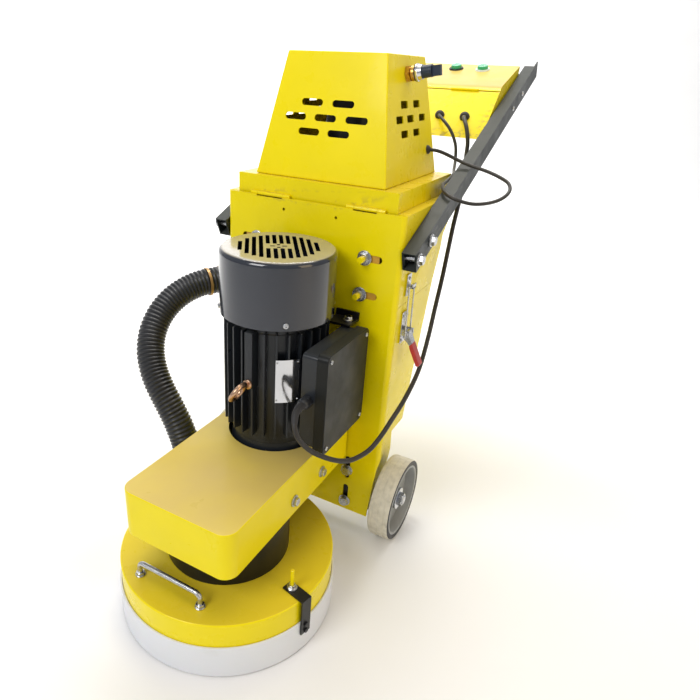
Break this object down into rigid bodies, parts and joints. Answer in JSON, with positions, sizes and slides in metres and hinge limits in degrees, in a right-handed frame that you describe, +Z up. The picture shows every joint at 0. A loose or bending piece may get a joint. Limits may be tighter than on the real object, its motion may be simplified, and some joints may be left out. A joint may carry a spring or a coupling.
{
  "type": "concrete grinder",
  "caption": "Walk-behind single-disc concrete floor grinder with upright belt-drive motor, round dust shroud, built-in vacuum filter unit, two wheels and a handle with a control box.",
  "frame": {"origin": "on the floor, under the middle of the machine's bounding box", "axes": "+Z up, +Y towards the operator's handle at the rear, +X to the machine's left seen from the operator standing behind it, which is the side with the motor's terminal box"},
  "size_m": [0.6177, 1.2586, 0.9794],
  "materials": {
    "yellow_paint": "gloss",
    "white_plastic": "satin",
    "black_paint": "satin",
    "motor_paint": "satin",
    "cowl_paint": "gloss",
    "bar_paint": "satin",
    "black_rubber": "matte",
    "grey_tread": "matte",
    "wheel_metal": "satin",
    "zinc_steel": "satin",
    "cast_iron": "rough",
    "copper": "satin",
    "brass": "polished",
    "green_plastic": "gloss",
    "red_plastic": "satin",
    "filter_paper": "matte"
  },
  "bodies": {
    "root": {"shroud": "yellow_paint", "belt_cover": "yellow_paint", "chassis_frame": "yellow_paint", "filter_chamber": "yellow_paint", "dust_bin": "yellow_paint", "control_box": "yellow_paint", "spindle_housing": "black_paint", "belt_base": "black_paint", "motor_stay": "black_paint", "motor_flange": "motor_paint", "motor_frame": "motor_paint", "terminal_box": "motor_paint", "terminal_lid": "motor_paint", "fan_cowl": "cowl_paint", "left_handle_bar": "bar_paint", "right_handle_bar": "bar_paint", "v_belt": "black_rubber", "suction_hose": "black_rubber", "motor_lead": "black_rubber", "grip_bar": "black_rubber", "cable_gland": "black_rubber", "lift_handle": "zinc_steel", "motor_bearing_lower": "zinc_steel", "motor_bearing_upper": "zinc_steel", "spindle_bearings": "zinc_steel", "arm_clamp_plate": "zinc_steel", "deflector_plate": "zinc_steel", "left_bar_bolts": "zinc_steel", "right_bar_bolts": "zinc_steel", "wheel_axle": "zinc_steel", "motor_stator": "copper", "lifting_eye": "copper", "filter_cartridge": "filter_paper"},
    "skirt": {"dust_skirt": "white_plastic", "skirt_bracket_1": "black_paint", "skirt_bracket_2": "black_paint"},
    "spindle": {"spindle_shaft": "zinc_steel", "driven_pulley": "cast_iron", "grinding_plate": "cast_iron", "diamond_disc": "cast_iron"},
    "motor_shaft": {"motor_rotor": "zinc_steel", "drive_pulley": "cast_iron", "cooling_fan": "black_paint"},
    "left_wheel": {"left_tyre": "grey_tread", "left_wheel_core": "wheel_metal"},
    "right_wheel": {"right_tyre": "grey_tread", "right_wheel_core": "wheel_metal"},
    "top_lid": {"lid": "yellow_paint", "hood": "yellow_paint", "vacuum_motor": "zinc_steel", "selector_base": "brass", "vacuum_lead": "black_rubber"},
    "selector": {"selector_knob": "black_paint"},
    "panel_lid": {"control_lid": "yellow_paint"},
    "button_1": {"start_button_1": "green_plastic"},
    "button_2": {"start_button_2": "green_plastic"},
    "left_lever": {"left_latch_lever": "red_plastic"},
    "right_lever": {"right_latch_lever": "red_plastic"},
    "left_bail": {"left_latch_bail": "zinc_steel"},
    "right_bail": {"right_latch_bail": "zinc_steel"}
  },
  "joints": [
    {"name": "skirt_lift", "type": "slide", "parent": "root", "child": "skirt", "axis": [0, 0, 1], "range_m": [0, 0.012]},
    {"name": "spindle_spin", "type": "hinge", "parent": "root", "child": "spindle", "pos_m": [0, -0.4253, 0.06], "axis": [0, 0, 1], "continuous": true},
    {"name": "motor_spin", "type": "hinge", "parent": "root", "child": "motor_shaft", "pos_m": [0, -0.2683, 0.3], "axis": [0, 0, 1], "continuous": true},
    {"name": "left_wheel_spin", "type": "hinge", "parent": "root", "child": "left_wheel", "pos_m": [-0.21, -0.1033, 0.09], "axis": [1, 0, 0], "continuous": true},
    {"name": "right_wheel_spin", "type": "hinge", "parent": "root", "child": "right_wheel", "pos_m": [0.21, -0.1033, 0.09], "axis": [1, 0, 0], "continuous": true},
    {"name": "lid_hinge", "type": "hinge", "parent": "root", "child": "top_lid", "pos_m": [0, -0.1535, 0.718], "axis": [1, 0, 0], "range_deg": [0, 95]},
    {"name": "selector_turn", "type": "hinge", "parent": "top_lid", "child": "selector", "pos_m": [0.10457, -0.0043, 0.939], "axis": [0.9856, 0, 0.1691], "range_deg": [-45, 45]},
    {"name": "panel_lid_hinge", "type": "hinge", "parent": "root", "child": "panel_lid", "pos_m": [0, 0.3807, 0.911], "axis": [1, 0, 0], "range_deg": [0, 100]},
    {"name": "button_1_press", "type": "slide", "parent": "panel_lid", "child": "button_1", "axis": [0, 0.2844, -0.9587], "range_m": [0, 0.004], "stiffness_N_per_m": 600, "springref_m": -0.001},
    {"name": "button_2_press", "type": "slide", "parent": "panel_lid", "child": "button_2", "axis": [0, 0.2844, -0.9587], "range_m": [0, 0.004], "stiffness_N_per_m": 600, "springref_m": -0.001},
    {"name": "left_lever_open", "type": "hinge", "parent": "root", "child": "left_lever", "pos_m": [-0.203, -0.0253, 0.488], "axis": [0, 1, 0], "range_deg": [0, 95]},
    {"name": "right_lever_open", "type": "hinge", "parent": "root", "child": "right_lever", "pos_m": [0.203, -0.1133, 0.488], "axis": [0, -1, 0], "range_deg": [0, 95]},
    {"name": "left_bail_swing", "type": "hinge", "parent": "left_lever", "child": "left_bail", "pos_m": [-0.201, -0.0253, 0.477], "axis": [0, 1, 0], "range_deg": [-90, 5]},
    {"name": "right_bail_swing", "type": "hinge", "parent": "right_lever", "child": "right_bail", "pos_m": [0.201, -0.1133, 0.477], "axis": [0, -1, 0], "range_deg": [-90, 5]}
  ],
  "couplings": [
    {"joint": "motor_spin", "follows": "spindle_spin", "ratio": 1.3333},
    {"joint": "left_bail_swing", "follows": "left_lever_open", "ratio": -0.905},
    {"joint": "right_bail_swing", "follows": "right_lever_open", "ratio": -0.905}
  ]
}
